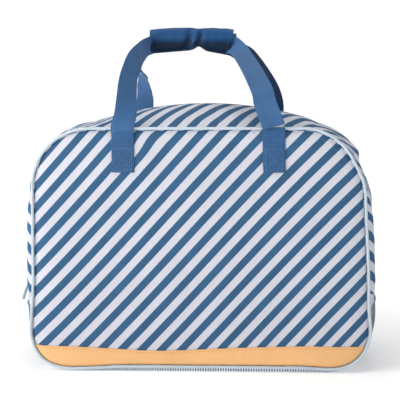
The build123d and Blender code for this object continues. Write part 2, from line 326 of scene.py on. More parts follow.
def ring_faces(rows, around, closed=False):
    """Faces between rings of points one after the other, with both ends capped where they don't close."""
    number = np.arange(rows * around).reshape(rows, around)
    ahead = np.roll(number, -1, 0) if closed else number[1:]
    here = number if closed else number[:-1]
    faces = np.stack([here, np.roll(here, -1, 1), np.roll(ahead, -1, 1), ahead], -1).reshape(-1, 4)
    caps = [] if closed else [tuple(number[0][::-1]), tuple(number[-1])]
    return [tuple(face) for face in faces] + caps


def tube(stock, path, radius, closed=False, around=10, slot=0):
    """Round tube along a path; radius is one number or one for each point."""
    path = np.asarray(path, float)
    sides, ups = frames(path, closed)
    radius = np.broadcast_to(radius, len(path))[:, None, None]
    angle = np.arange(around) * 2 * math.pi / around
    ring = np.cos(angle)[None, :, None] * sides[:, None] + np.sin(angle)[None, :, None] * ups[:, None]
    points = path[:, None] + radius * ring
    girth = angle * float(np.max(radius))
    thread = np.stack(np.broadcast_arrays(length_along(path)[:, None], girth[None, :]), -1)
    stock.add(points, ring_faces(len(path), around, closed), slot, None, thread)


def stitches(stock, path, stitch=0.0032, gap=0.0012, radius=0.00032, slot=0):
    """Row of short thread stitches along a path of points."""
    path = np.asarray(path, float)
    length = length_along(path)
    count = max(int(length[-1] / (stitch + gap)), 1)
    pitch = length[-1] / count
    for i in range(count):
        spots = i * pitch + (gap / 2) + np.array([0, 0.2, 0.8, 1]) * (pitch - gap)
        points = np.stack([np.interp(spots, length, path[:, k]) for k in range(3)], -1)
        tube(stock, points, radius * np.array([0.45, 1, 1, 0.45]), around=6, slot=slot)


# ---- materials ----


def linear(r, g, b):
    """Colour from 0-255 display values."""
    values = [c / 255 for c in (r, g, b)]
    return tuple(c / 12.92 if c <= 0.04045 else ((c + 0.055) / 1.055) ** 2.4 for c in values) + (1.0,)


def scaled(colour, factor):
    """Colour made darker, or lighter up to full strength."""
    return tuple(min(factor * c, 1) for c in colour[:3]) + (1.0,)


class Recipe:
    """Node material with a few shorthands."""

    def __init__(self, name, roughness, sheen=0.0, specular=0.5, coat=0.0, metallic=0.0):
        self.material = bpy.data.materials.new(name)
        self.material.use_nodes = True
        self.tree = self.material.node_tree
        self.shader = self.tree.nodes["Principled BSDF"]
        for label, value in (("Roughness", roughness), ("Sheen Weight", sheen), ("Sheen Roughness", 0.45),
                             ("Specular IOR Level", specular), ("Coat Weight", coat), ("Metallic", metallic)):
            self.shader.inputs[label].default_value = value
        self.height = None

    def link(self, source, target):
        self.tree.links.new(source, target)

    def put(self, socket, value):
        if isinstance(value, bpy.types.NodeSocket):
            self.link(value, socket)
        elif value is not None:
            socket.default_value = value

    def math(self, operation, a, b=None, c=None):
        node = self.tree.nodes.new("ShaderNodeMath")
        node.operation = operation
        for socket, value in zip(node.inputs, (a, b, c)):
            self.put(socket, value)
        return node.outputs[0]

    def ramp(self, value, low, high, to_low=0.0, to_high=1.0):
        node = self.tree.nodes.new("ShaderNodeMapRange")
        node.interpolation_type = "SMOOTHSTEP"
        for socket, number in zip(node.inputs, (value, low, high, to_low, to_high)):
            self.put(socket, number)
        return node.outputs[0]

    def mix(self, share, a, b):
        node = self.tree.nodes.new("ShaderNodeMix")
        node.data_type = "RGBA"
        self.put(node.inputs[0], share)
        self.put(node.inputs[6], a)
        self.put(node.inputs[7], b)
        return node.outputs[2]

    def map(self, label):
        """The two coordinates of a piece's own map, in metres or stripes."""
        source = self.tree.nodes.new("ShaderNodeUVMap")
        source.uv_map = label
        split = self.tree.nodes.new("ShaderNodeSeparateXYZ")
        self.link(source.outputs[0], split.inputs[0])
        return split.outputs[0], split.outputs[1]

    def noise(self, size, detail=2.0, rough=0.5):
        """Noise in the object's own space, with lumps of the given size in metres."""
        place = self.tree.nodes.new("ShaderNodeTexCoord")
        node = self.tree.nodes.new("ShaderNodeTexNoise")
        node.inputs["Scale"].default_value = 1 / size
        node.inputs["Detail"].default_value = detail
        node.inputs["Roughness"].default_value = rough
        self.link(place.outputs["Object"], node.inputs["Vector"])
        return node.outputs[0]

    def wave(self, coordinate, period):
        return self.math("SINE", self.math("MULTIPLY_ADD", coordinate, 2 * math.pi / period, 0.0))

    def ribs(self, coordinate, period):
        """Rounded ribs, from 0 to 1."""
        return self.math("MULTIPLY_ADD", self.wave(coordinate, period), 0.5, 0.5)

    def raise_by(self, height, amount):
        """Adds height, from 0 to 1, to the relief with a depth in metres."""
        relief = self.math("MULTIPLY", height, amount)
        self.height = relief if self.height is None else self.math("ADD", self.height, relief)

    def dim(self, colour, factor):
        node = self.tree.nodes.new("ShaderNodeHueSaturation")
        self.put(node.inputs["Color"], colour)
        self.put(node.inputs["Value"], factor)
        return node.outputs[0]

    def shade(self, colour, size=0.03, depth=0.08):
        """Lets a colour drift lighter and darker in soft patches."""
        return self.dim(colour, self.ramp(self.noise(size, 3), 0.3, 0.7, 1 - depth, 1 + depth))

    def done(self, colour):
        self.put(self.shader.inputs["Base Color"], colour)
        if self.height is not None:
            bump = self.tree.nodes.new("ShaderNodeBump")
            bump.inputs["Strength"].default_value = 1.0
            bump.inputs["Distance"].default_value = 1.0
            self.link(self.height, bump.inputs["Height"])
            self.link(bump.outputs[0], self.shader.inputs["Normal"])
        return self.material


def plain_weave(recipe, period, depth):
    """Over-and-under relief of a plain weave in the thread map; returns its height."""
    u, v = recipe.map("thread")
    over = recipe.math("MULTIPLY", recipe.wave(u, period), recipe.wave(v, period))
    height = recipe.math("MULTIPLY_ADD", over, 0.5, 0.5)
    recipe.raise_by(height, depth)
    return height


BLUE = linear(56, 95, 131)
OFF_WHITE = linear(207, 208, 217)
ICE = linear(195, 209, 219)
WEBBING_BLUE = linear(54, 98, 146)
GRIP_BLUE = linear(34, 78, 124)
CARAMEL = linear(248, 192, 130)


def striped_fabric():
    r = Recipe("striped_fabric", 0.75, sheen=0.02, specular=0.15)
    phase, _ = r.map("stripe")
    ragged = r.math("MULTIPLY_ADD", r.noise(0.0012, 1), 0.03, phase)
    within = r.math("ABSOLUTE", r.math("SUBTRACT", r.math("FRACT", ragged), 0.5))
    print_mask = r.ramp(within, 0.238, 0.262)
    weave = plain_weave(r, 0.0009, 0.00006)
    lit = r.math("MULTIPLY_ADD", weave, 0.10, 0.95)
    ground = r.mix(print_mask, r.shade(OFF_WHITE, 0.05, 0.02), r.shade(BLUE, 0.04, 0.07))
    r.raise_by(r.noise(0.016, 2), 0.0011)
    return r.done(r.dim(ground, lit))


def woven(name, colour, period, depth, roughness=0.7, sheen=0.15, patch=0.03, drift=0.08):
    r = Recipe(name, roughness, sheen=sheen, specular=0.35)
    plain_weave(r, period, depth)
    r.raise_by(r.noise(0.01, 2), 0.0002)
    return r.done(r.shade(colour, patch, drift))


def weave_shade_and_highlight(recipe, colour, *factors):
    """The colour of a weave's hollows, darkened as painted shade, and of its raised threads, lightened as
    painted highlight.
    """
    return [recipe.shade(scaled(colour, factor), 0.02, 0.06) for factor in factors]


def ribbed_webbing(name, colour):
    """Webbing with ribs across its run and a fine waffle of warp threads."""
    r = Recipe(name, 0.62, sheen=0.08, specular=0.3)
    run, across = r.map("thread")
    slanted = r.math("ADD", run, r.math("MULTIPLY", across, 0.35))
    rib, warp = r.ribs(slanted, 0.0021), r.ribs(across, 0.0027)
    r.raise_by(rib, 0.00022)
    r.raise_by(warp, 0.00014)
    grain = r.math("MULTIPLY", rib, warp)
    # Painted shade in the hollows between ribs, painted highlight on the raised threads.
    return r.done(r.mix(grain, *weave_shade_and_highlight(r, colour, 0.72, 1.18)))


def waffle_webbing(name, colour):
    """Webbing whose sewn end shows a square waffle of ribs."""
    r = Recipe(name, 0.62, sheen=0.08, specular=0.3)
    run, across = r.map("thread")
    grain = r.math("MINIMUM", r.ribs(run, 0.0024), r.ribs(across, 0.0026))
    r.raise_by(grain, 0.0004)
    # Painted shade in the waffle's hollows, painted highlight on its raised squares.
    return r.done(r.mix(r.ramp(grain, 0.1, 0.7), *weave_shade_and_highlight(r, colour, 0.62, 1.3)))


def satin(name, colour):
    """Smooth nylon with painted shade: it turns darker where the stripe map says so."""
    r = Recipe(name, 0.45, sheen=0.02, specular=0.15)
    plain_weave(r, 0.0006, 0.00003)
    r.raise_by(r.noise(0.012, 3), 0.0007)
    # The stripe map holds painted shade: how far each spot moves towards the darker copy of the colour.
    painted_shade_map, _ = r.map("stripe")
    return r.done(r.shade(r.mix(painted_shade_map, colour, scaled(colour, 0.22)), 0.02, 0.08))


def soft_hide(name, colour):
    r = Recipe(name, 0.5, specular=0.45, coat=0.04)
    grain = r.noise(0.0011, 3, 0.6)
    r.raise_by(grain, 0.00022)
    r.raise_by(r.noise(0.02, 2), 0.0007)
    # Painted shade: the colour is darker in the hollows of the grain.
    grain_hollow_shade = r.ramp(grain, 0.35, 0.65)
    return r.done(r.shade(r.mix(grain_hollow_shade, scaled(colour, 0.88), colour), 0.05, 0.04))


def netting(name):
    """Coarse knitted net over navy cloth: pale bars side by side, tied by fine cross threads."""
    r = Recipe(name, 0.65, sheen=0.1, specular=0.3)
    u, v = r.map("thread")
    bar = r.ramp(r.wave(u, 0.0034), -0.5, 0.0)
    tie = r.ramp(r.wave(v, 0.0040), 0.80, 0.95)
    raised = r.math("MAXIMUM", bar, tie)
    r.raise_by(raised, 0.0004)
    return r.done(r.mix(raised, linear(40, 54, 88), r.shade(linear(238, 242, 250), 0.02, 0.06)))


def hard(name, colour, roughness, metallic=0.0, coat=0.0):
    r = Recipe(name, roughness, metallic=metallic, coat=coat)
    r.raise_by(r.noise(0.0008, 2), 0.00002)
    return r.done(r.shade(colour, 0.006, 0.05))


def thread_of(name, colour, sheen=0.2, roughness=0.5):
    """Sewing thread."""
    return woven(name, colour, 0.0007, 0.00004, roughness, sheen)


STRIPED = striped_fabric()
PIPING = woven("piping_fabric", ICE, 0.0007, 0.00008, 0.6, 0.1, 0.02, 0.03)
BAND = soft_hide("base_band_hide", CARAMEL)
LINING = woven("lining_fabric", linear(74, 86, 108), 0.0006, 0.00003, 0.6, 0.2)
FOAM = woven("foam_padding", linear(205, 205, 200), 0.0014, 0.0001, 0.9, 0.0)
BINDING = woven("seam_binding", linear(52, 66, 92), 0.0012, 0.0001)
NET_CLOTH = netting("netting")
NET_THREAD = woven("net_thread", linear(128, 134, 142), 0.0008, 0.00005, 0.6, 0.2)
ELASTIC = ribbed_webbing("pocket_elastic", linear(70, 92, 128))
WEBBING = ribbed_webbing("handle_webbing", linear(62, 108, 158))
# Darker copy of the webbing: painted shade for the shaded face of the right straps.
WEBBING_PAINTED_SHADE = ribbed_webbing("webbing_painted_shade", linear(36, 62, 102))
GRIP = satin("grip_nylon", GRIP_BLUE)
ANCHOR_WEB = waffle_webbing("anchor_webbing", WEBBING_BLUE)
THREAD = thread_of("thread_blue", linear(90, 130, 174))
GRIP_THREAD = thread_of("thread_deep", linear(62, 96, 138), 0.0, 0.6)
PALE_THREAD = thread_of("thread_pale", linear(176, 200, 220))
TAN_THREAD = thread_of("thread_tan", linear(226, 166, 108))
TAPE = ribbed_webbing("zip_tape", linear(48, 76, 118))
COIL = hard("zip_coil", linear(60, 84, 120), 0.35, coat=0.2)
PULL = hard("painted_pull", linear(150, 168, 182), 0.3, 0.1, 0.5)
BOARD = hard("base_board_plastic", linear(58, 60, 66), 0.55)
CLOSURE = woven("closure_pile", linear(38, 62, 100), 0.0011, 0.0004, 0.9, 0.4)


def settle(stock, name, materials, body="bag_body", node=None, sharp=45):
    """Makes a piece that rides on one body and stands for the CAD node of its name, or the one given."""
    piece = stock.make(name, materials, sharp)
    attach(piece, body)
    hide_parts(node or name)
    return piece


def span(stock, name, materials, slot_name, other, start, end, *nodes):
    """Makes a piece of cloth, with its placement baked into its mesh, and hides the CAD nodes that it
    replaces.
    """
    piece = stock.make(name, materials)
    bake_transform(piece)
    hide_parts(*nodes)


def cross_sheet(near, far, rows, ys, out=0.0):
    """Grid over the gusset between two arcs, which may depend on y, with its stripe and thread maps."""
    ys = np.asarray(ys, float)
    first = near(ys) if callable(near) else np.full_like(ys, near)
    last = far(ys) if callable(far) else np.full_like(ys, far)
    share = np.linspace(0, 1, rows)[:, None]
    arc = first * (1 - share) + last * share
    y = np.broadcast_to(ys, arc.shape)
    grid = skin(arc, y, out)
    normal = grid_normals(grid)
    if np.sum(normal * (grid - np.array(INSIDE))) < 0:
        normal = -normal
    grid = soften(grid + normal * lumps(arc, y)[..., None])
    from_crown = np.where(arc < 0, -1.0, 1.0) * (HALF_ARC - np.abs(arc))
    slant = 0.6 + 0.5 * (1 - smooth(arc, MARKS[3] - 0.05, MARKS[4])) * (arc > 0)
    stripe = np.stack([(from_crown - slant * y) / STRIPE_PITCH, np.zeros_like(arc)], -1)
    return grid, stripe, np.stack([arc, y], -1)


def lay(stock, near, far, rows, ys, depth, thickness=THIN):
    """Adds a closed layer whose outer side lies depth below the gusset's; returns the grid of that side."""
    grid, _, thread = cross_sheet(near, far, rows, ys, -depth)
    shell(stock, grid, thickness, INSIDE, None, thread)
    return grid


def seam_distance(x, z):
    """How far a point of a panel lies inside the panel's outline."""
    upper = z > WAIST
    radius = np.where(upper, UPPER_RADIUS, LOWER_RADIUS)
    edge = np.where(upper, PANEL_TOP - z, z - PANEL_LOW)
    side = HALF_WIDTH - np.abs(x)
    corner = (side < radius) & (edge < radius)
    return np.where(corner, radius - np.hypot(radius - side, radius - edge), np.minimum(side, edge))


def stand(x, z, hand):
    """How far a panel's padded cloth stands out from the plane of its seam."""
    reach = np.maximum(seam_distance(x, z), 0)
    spot = np.stack([x, np.full_like(x, 0.5 * hand), z], -1)
    pad = 0.0056 * (1 - np.exp(-reach / 0.016)) - 0.0020 * np.exp(-reach / 0.0030)
    broad = 0.0016 * wobble(spot, 0.11, 2.0) + 0.0006 * wobble(spot, 0.035, 5.0)
    edge = np.exp(-reach / 0.010) * smooth(reach, 0, 0.003)
    pucker = 0.0005 * edge * np.sin((x + z) * 2 * math.pi / 0.0125 + 2.5 * wobble(spot, 0.04, 9.0))
    return pad + broad * smooth(reach, 0.003, 0.04) + pucker


def on_panel(x, z, hand, face):
    """Point over a panel, whose seam plane is face away from the middle of the bag."""
    x, z = np.broadcast_arrays(np.asarray(x, float), np.asarray(z, float))
    return soften(np.stack([x, hand * (face + stand(x, z, hand)), z], -1))


def stripe_phase(x, z):
    """Count of the printed stripes, which cross a panel at 45 degrees and bow a little over its padding."""
    plain = 9.085 + 38.6 * x - 36.5 * z
    drift = 1.0 * x ** 2 - 6.0 * x * z + 3.6 * z ** 2
    bow = 55 * (x ** 2 - 0.012) * (z - WAIST)
    tug = 0.22 * np.exp(-((x + 0.068) / 0.022) ** 2 - ((z - 0.318) / 0.016) ** 2)
    return plain + drift - bow + tug


def panel_layer(name, hand, face, thickness, inset, material):
    """One layer of a panel, inset from its sewn edge, with its outer side over the plane of that face."""
    lower = np.linspace(MARKS[1], MARKS[2], 18)[:-1]
    side = np.linspace(MARKS[2], MARKS[3], 84)[:-1]
    upper = np.linspace(MARKS[3], MARKS[4], 22)
    edge = skin(np.concatenate([lower, side, upper]), HALF_DEPTH, -inset)
    t = np.linspace(-1, 1, 171)
    x = edge[:, None, 0] * (0.75 * t + 0.25 * np.sin(t * math.pi / 2))
    z = np.broadcast_to(edge[:, None, 2], x.shape)
    grid = on_panel(x, z, hand, face)
    stripe = np.stack([stripe_phase(-hand * grid[..., 0], grid[..., 2]), np.zeros_like(x)], -1)
    stock = Stock()
    shell(stock, grid, thickness, INSIDE, stripe, np.stack([x, z], -1))
    return settle(stock, name, [material])


def base_band(name, hand):
    """Leathery band across the foot of a panel, with a folded upper edge and a row of stitches."""
    t = np.linspace(-1, 1, 151)
    across = 0.8 * t + 0.2 * np.sin(t * math.pi / 2)
    turn = np.linspace(0, 1, 15)
    width_at_foot = HALF_WIDTH - 0.004
    shown = across * -hand
    wide = np.where(shown < -0.3, 0.34, 0.50)
    dip = 0.0073 * np.exp(-((shown + 0.3) / wide) ** 2)
    lift = 0.0041 * np.clip(1 - (shown * width_at_foot / 0.2) ** 4, 0, 1) - 0.0010
    top = BAND_TOP + 0.0028 - dip - lift
    foot = PANEL_LOW + 0.0004
    z = foot + (top - foot) * (turn ** 1.8)[:, None]
    low_turn = np.clip((LOWER_RADIUS - (z - PANEL_LOW)) / LOWER_RADIUS, 0, 1)
    width = HALF_WIDTH - LOWER_RADIUS + LOWER_RADIUS * np.sqrt(1 - low_turn ** 2) - 0.0006
    x = width * across
    face = FRONT_FACE + 0.0013
    stock = Stock()
    shell(stock, on_panel(x, z, hand, face), 0.0012, INSIDE, None, np.stack([x, z], -1))
    hem = on_panel(x[-1], z[-1] - 0.0006, hand, face - 0.0001)
    tube(stock, hem, 0.0008, around=8)
    line = on_panel(x[-1, 2:-2], z[-1, 2:-2] - 0.0030, hand, face + 0.0001)
    stitches(stock, line, 0.0030, 0.0010, 0.00028, slot=1)
    settle(stock, name, [BAND, TAN_THREAD])


def piping(name, hand):
    """Round piping in the seam all round a panel."""
    arc = np.linspace(-HALF_ARC, HALF_ARC, 560, endpoint=False)
    path = skin(arc, hand * HALF_DEPTH, 0.0022)
    path[:, 1] = hand * (HALF_DEPTH + 0.002)
    path = soften(path)
    path[:, 2] += 0.0003 * wobble(path, 0.02, 4.0)
    path[:, 1] -= hand * 0.0003 * wobble(path, 0.03, 8.0)
    stock = Stock()
    tube(stock, path, 0.00195 * (1 + 0.05 * wobble(path, 0.006, 1.0)), closed=True, around=12)
    settle(stock, name, [PIPING])


def gusset_start(sign):
    """Where a striped strip starts, as an arc that depends on the depth."""
    return lambda ys: sign * arc_at_height(SIDE_END, ys)


def gusset(side, hand):
    """Striped strips beside the zip: a sewn margin that stays, and the two halves of the mouth as pieces of
    their own.
    """
    strip = np.linspace(CHAIN_REACH, FOLD, 26) * hand
    margin = np.linspace(FOLD, HALF_DEPTH, 5) * hand
    stitched = (CHAIN_REACH + np.array([0.0012, 0.0022])) * hand
    stock = Stock()
    for sign in (1, -1):
        grid, stripe, thread = cross_sheet(gusset_start(sign), sign * HALF_ARC, 210, margin)
        shell(stock, grid, FABRIC, INSIDE, stripe, thread)
    settle(stock, "gusset_" + side, [STRIPED])
    for sign, word in ((1, "right"), (-1, "left")):
        reach = gusset_start(sign), sign * HALF_ARC
        drop = "mouth_" + side, (sign * MOUTH_HALF, 0, MOUTH_TOP), (sign * MOUTH_EASE, 0, MOUTH_TOP)
        end = "_%s_%s" % (side, word)
        stock = Stock()
        grid, stripe, thread = cross_sheet(*reach, 210, strip)
        shell(stock, grid, FABRIC, INSIDE, stripe, thread)
        line = cross_sheet(*reach, 300, stitched, 0.0001)[0][:, 1]
        stitches(stock, line, 0.0034, 0.0012, 0.00028, slot=1)
        materials = [STRIPED, PALE_THREAD]
        span(stock, "mouth_strip" + end, materials, "striped_fabric", *drop, "mouth_strip_" + side)
        stock = Stock()
        lay(stock, *reach, 90, np.linspace(0.010, LINING_FOLD, 20) * hand, LINING_DEPTH)
        span(stock, "mouth_lining" + end, [LINING], "lining", *drop, "mouth_lining_" + side)
        stock = Stock()
        begin = lambda ys, s=sign: s * arc_at_height(TAPE_LOW, ys)
        lay(stock, begin, sign * HALF_ARC, 160, np.linspace(0.0010, 0.014, 6) * hand, 0.0013)
        span(stock, "zip_tape" + end, [TAPE], "zip_tape", *drop, "mouth_tape_" + side, "zip_tape_" + word)
        stock = zip_teeth(sign, hand)
        span(stock, "zip_coil" + end, [COIL], "zip_coil", *drop, "mouth_coil_" + side, "zip_coil_" + word)
    stock = Stock()
    for sign in (1, -1):
        rest = np.linspace(LINING_FOLD, SEAM, 4) * hand
        lay(stock, gusset_start(sign), sign * HALF_ARC, 90, rest, LINING_DEPTH)
    settle(stock, "gusset_lining_" + side, [LINING])
    stock = Stock()
    binding = np.linspace(0.1036, 0.1066, 4) * hand
    for sign in (1, -1):
        lay(stock, 0.0, sign * HALF_ARC, 180, binding, 0.0030, 0.0007)
        edge = cross_sheet(0.0, sign * HALF_ARC, 180, binding[:2], -0.0033)[0][:, 0]
        tube(stock, edge, 0.0006, around=6)
    settle(stock, "seam_binding_" + side, [BINDING])


def zip_teeth(sign, hand):
    """One side of half of the coil: a loop of plastic thread for each tooth, and the cord they close on."""
    start = float(arc_at_height(COIL_LOW, 0.0))
    pitch = 0.0024
    count = int((HALF_ARC - start) / pitch)
    shift = 0.0 if hand < 0 else 0.5
    stock = Stock()
    for i in range(count):
        arc = sign * (start + (i + shift) * pitch)
        lean = sign * np.array([0.0, 0.0003, 0.0003, 0.0])
        across = np.array([0.0031, 0.0024, 0.0008, 0.0001]) * hand
        height = np.array([-0.0006, 0.0002, 0.0002, -0.0004])
        path = np.stack([skin(arc + lean[k], across[k], height[k]) for k in range(4)])
        tube(stock, soften(path), np.array([0.0005, 0.00062, 0.00062, 0.00045]), around=6)
    arcs = np.linspace(sign * start, sign * HALF_ARC, 160)
    tube(stock, soften(skin(arcs, 0.0034 * hand, -0.0006)), 0.0005, around=6)
    return stock


def pocket_puff(y):
    """How far a full pocket stands off the side."""
    return 0.0012 * np.clip(1 - (np.asarray(y) / POCKET_HALF) ** 2, 0, 1)


def pocket_place(share, y, sign, out):
    """Point on a mesh pocket: share runs from its floor to its upper edge."""
    start, end = corner_arc(POCKET_FLOOR, y), arc_at_height(POCKET_TOP, y)
    arc = start + (end - start) * share
    height = skin(arc, y)[..., 2]
    fill = smooth(share, 0.0, 0.45) * pocket_puff(y) + edge_puff(y, height)
    return soften(skin(sign * arc, y, out + fill))


def mesh_pocket(word, sign):
    """Open net of knitted diamonds on one side, with an elastic binding along its upper edge."""
    stock = Stock()
    length, depth, cell = 0.095, 2 * POCKET_HALF, 0.0044
    reach = int((length + depth) / cell)
    for way in (1, -1):
        for k in range(-reach, reach):
            base = k * cell * way
            y = np.linspace(-depth / 2, depth / 2, 68)
            up = (y * way + base) / length * 1.25
            inside = (up >= 0.0) & (up <= 1.0)
            if inside.sum() < 3:
                continue
            y, up = y[inside], up[inside]
            knot = 0.0003 * way * np.sin(y / cell * 2 * math.pi)
            path = pocket_place(up, y, sign, 0.0012 + knot)
            tube(stock, path, 0.00042, around=5)
    y = np.linspace(-POCKET_HALF, POCKET_HALF, 61)
    for share in (0.012, 0.99):
        tube(stock, pocket_place(share, y, sign, 0.0012), 0.0010, around=6)
    for edge in (-POCKET_HALF, POCKET_HALF):
        tube(stock, pocket_place(np.linspace(0, 1, 40), edge, sign, 0.0012), 0.0010, around=6)
    settle(stock, "mesh_pocket_" + word, [NET_THREAD])
    stock = Stock()
    y = np.linspace(-POCKET_HALF, POCKET_HALF, 81)
    share = np.linspace(0.935, 1.010, 7)
    gather = 0.0004 * np.sin(y * 2 * math.pi / 0.006)
    round_off = 0.0004 * np.sin(math.pi * (share - 0.905) / 0.11)
    grid = np.stack([pocket_place(s, y, sign, 0.0020 + gather + r) for s, r in zip(share, round_off)])
    thread = np.stack(np.meshgrid(share * 0.09, y, indexing="ij"), -1)
    shell(stock, grid, 0.0010, INSIDE, None, thread[..., ::-1])
    for k in (1, -2):
        stitches(stock, grid[k], 0.0024, 0.0010, 0.00026, slot=1)
    settle(stock, "pocket_binding_" + word, [ELASTIC, PALE_THREAD])


def base():
    """Mesh-faced strip round the base and the foot of both sides, and its lining; the stiff board is the
    carried-over solid.
    """
    share = np.linspace(-1, 1, 53)
    ys = HALF_DEPTH * np.sign(share) * (1 - (1 - np.abs(share)) ** 2)
    low = lambda y: -arc_at_height(SIDE_END + 0.0006, y)
    high = lambda y: arc_at_height(SIDE_END + 0.0006, y)
    stock = Stock()
    grid = lay(stock, low, high, 240, ys, -0.0005, FABRIC + 0.0005)
    for row in (2, -3):
        stitches(stock, grid[row], 0.0032, 0.0012, 0.0003, slot=1)
    settle(stock, "base_gusset", [NET_CLOTH, PALE_THREAD])
    stock = Stock()
    lay(stock, low, high, 150, np.linspace(-SEAM, SEAM, 35), LINING_DEPTH)
    settle(stock, "base_lining", [LINING])


# ---- handles ----


WEB_HALF = 0.015
WEB_THICK = 0.0018
WEB_LIFT = 0.0012        # from the panel's cloth to the middle of the webbing sewn to it
WEB_OVER_PIPING = 0.1166 # depth of its middle where it crosses the piping
ANCHOR_FOOT, ANCHOR_HEAD = 0.2688, 0.3285
STRAP_STILL, STRAP_HELD = (0, 0, 0.329), (0, 0, 0.446)   # a strap bends between these heights
GRIP_MIDDLE = 0.4540
GRIP_DEPTH = 0.0180      # of the wrap below its middle line, before it is pinched
PINCH = -0.004           # where a hand has squeezed the wrap


def curve_through(points, count):
    """Smooth line through a few points, evenly spaced along its length."""
    p = np.asarray(points, float)
    wide = np.concatenate([[2 * p[0] - p[1]], p, [2 * p[-1] - p[-2]]])
    fine = []
    for i in range(len(p) - 1):
        a, b, c, d = wide[i:i + 4]
        t = np.linspace(0, 1, 24, endpoint=False)[:, None]
        fine.append(0.5 * (2 * b + (c - a) * t + (2 * a - 5 * b + 4 * c - d) * t ** 2
                           + (3 * b - a - 3 * c + d) * t ** 3))
    fine = np.concatenate(fine + [p[-1:]])
    length = length_along(fine[:, :3])
    even = np.linspace(0, length[-1], count)
    return np.stack([np.interp(even, length, fine[:, k]) for k in range(p.shape[1])], -1), even


def webbing_band(stock, middle, width_way, run, half, thickness, cup=0.0, shaded_face=0):
    """Flat strap about a line: rounded edges, closed ends, cupped a little across its width.

    The last argument is 1 or -1 where the side that faces +Y or -Y takes the second material, a darker copy
    of the webbing painted on as shade.
    """
    way = unit(width_way)
    face = unit(np.cross(way, np.gradient(middle, axis=0)))
    turn = np.linspace(0, 2 * math.pi, 28, endpoint=False)
    flat = rounded(np.cos(turn), 0.45)
    thick = rounded(np.sin(turn), 0.7)
    half = np.broadcast_to(half, len(middle))[:, None, None]
    bow = cup * (flat ** 2)[None, :, None]
    rings = (middle[:, None] + half * flat[None, :, None] * way[:, None]
             + (thickness / 2 * thick[None, :, None] + bow) * face[:, None])
    rows, around = rings.shape[:2]
    thread = np.stack(np.broadcast_arrays(run[:, None], flat[None, :] * WEB_HALF), -1)
    is_shaded_face = np.sin(turn + math.pi / around) * (1 if shaded_face > 0 else -1) > 0
    slots = np.tile(is_shaded_face.astype(int) * (shaded_face != 0), rows - 1).tolist() + [0, 0]
    stock.add(rings, ring_faces(rows, around), slots, None, thread)


def anchor(side, word, hand, x):
    """Sewn end of a strap, flat on the panel up to the seam."""
    z = np.linspace(ANCHOR_FOOT, ANCHOR_HEAD, 40)
    drift = x - 0.0005 * (z - 0.30) / 0.03
    flat = FRONT_FACE + stand(np.full_like(z, x), np.minimum(z, PANEL_TOP), hand) + WEB_LIFT
    depth = flat + (WEB_OVER_PIPING - flat) * smooth(z, 0.303, 0.3235)
    middle = soften(np.stack([drift, hand * depth, z], -1))
    middle[:, 2] = z
    stock = Stock()
    way = np.tile([1.0, 0, 0], (len(z), 1))
    webbing_band(stock, middle, way, z, WEB_HALF, WEB_THICK)
    hem = middle[:3].mean(0) + np.array([0, 0, 0.0006])
    tube(stock, hem + np.linspace(-WEB_HALF + 0.001, WEB_HALF - 0.001, 9)[:, None] * way[0], 0.0011, around=8)
    settle(stock, "handle_anchor_%s_%s" % (side, word), [ANCHOR_WEB])


def box_stitching():
    """Crossed box of stitches through each sewn end."""
    stock = Stock()
    half, low, high = 0.0122, 0.2715, 0.3005
    for hand in (-1, 1):
        for x in ANCHORS:
            corners = [(-half, low), (half, low), (half, high), (-half, high)]
            lines = [(corners[i], corners[(i + 1) % 4]) for i in range(4)]
            lines += [(corners[0], corners[2]), (corners[1], corners[3])]
            for (x0, z0), (x1, z1) in lines:
                t = np.linspace(0, 1, 12)
                z = z0 + (z1 - z0) * t
                depth = FRONT_FACE + stand(np.full_like(z, x), z, hand) + WEB_LIFT + WEB_THICK / 2 + 0.0002
                line = soften(np.stack([x + x0 + (x1 - x0) * t, hand * depth, z], -1))
                line[:, 2] = z
                stitches(stock, line, 0.0026, 0.0011, 0.00030)
    settle(stock, "box_stitches", [THREAD])


